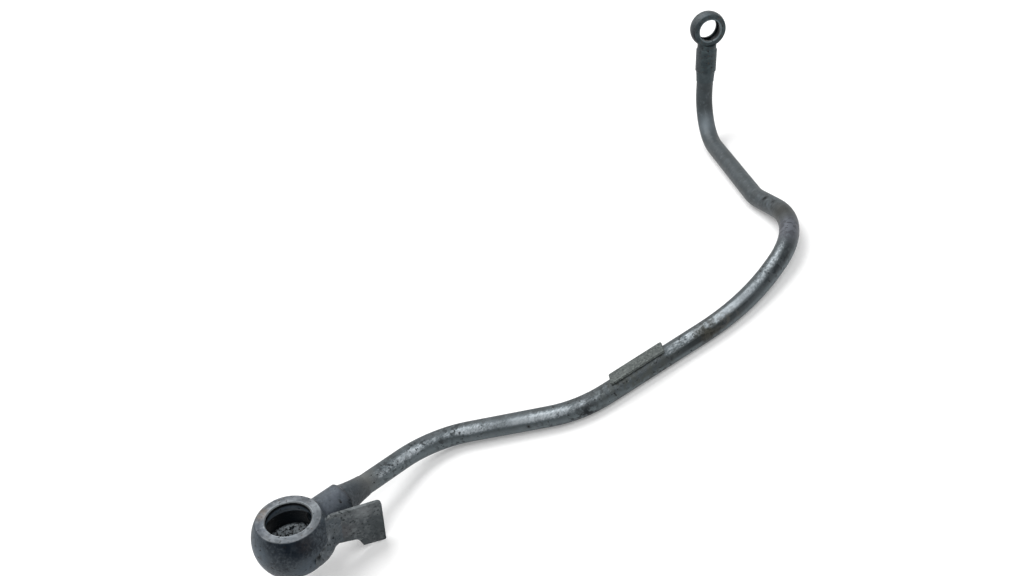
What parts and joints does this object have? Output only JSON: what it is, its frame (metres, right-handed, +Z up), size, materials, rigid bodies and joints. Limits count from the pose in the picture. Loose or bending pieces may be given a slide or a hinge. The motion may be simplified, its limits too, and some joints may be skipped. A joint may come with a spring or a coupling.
{
  "type": "turbo oil feed line",
  "caption": "Rigid steel oil feed pipe with several bends, a large banjo eye with a side tab at one end and a small banjo eye at the other.",
  "frame": {"origin": "centre of the bottom of its bounding box, on the floor that the line rests on", "axes": "+Z up from the floor it lies on, +X along its length, from the large eye towards the far side of its main bend, +Y to the left of that"},
  "size_m": [0.3012, 0.1386, 0.0624],
  "materials": {
    "pipe": "dark oxidised with worn bright streaks",
    "eyes": "dark oxidised, faces ground",
    "braze": "matt oxidised",
    "tab": "matt oxidised",
    "tag": "matt"
  },
  "bodies": {
    "root": {"feed_tube": "pipe", "large_banjo": "eyes", "small_banjo": "eyes", "large_end_braze": "braze", "small_end_braze": "braze", "locating_tab": "tab", "tab_weld": "braze", "id_tag": "tag"}
  },
  "joints": []
}
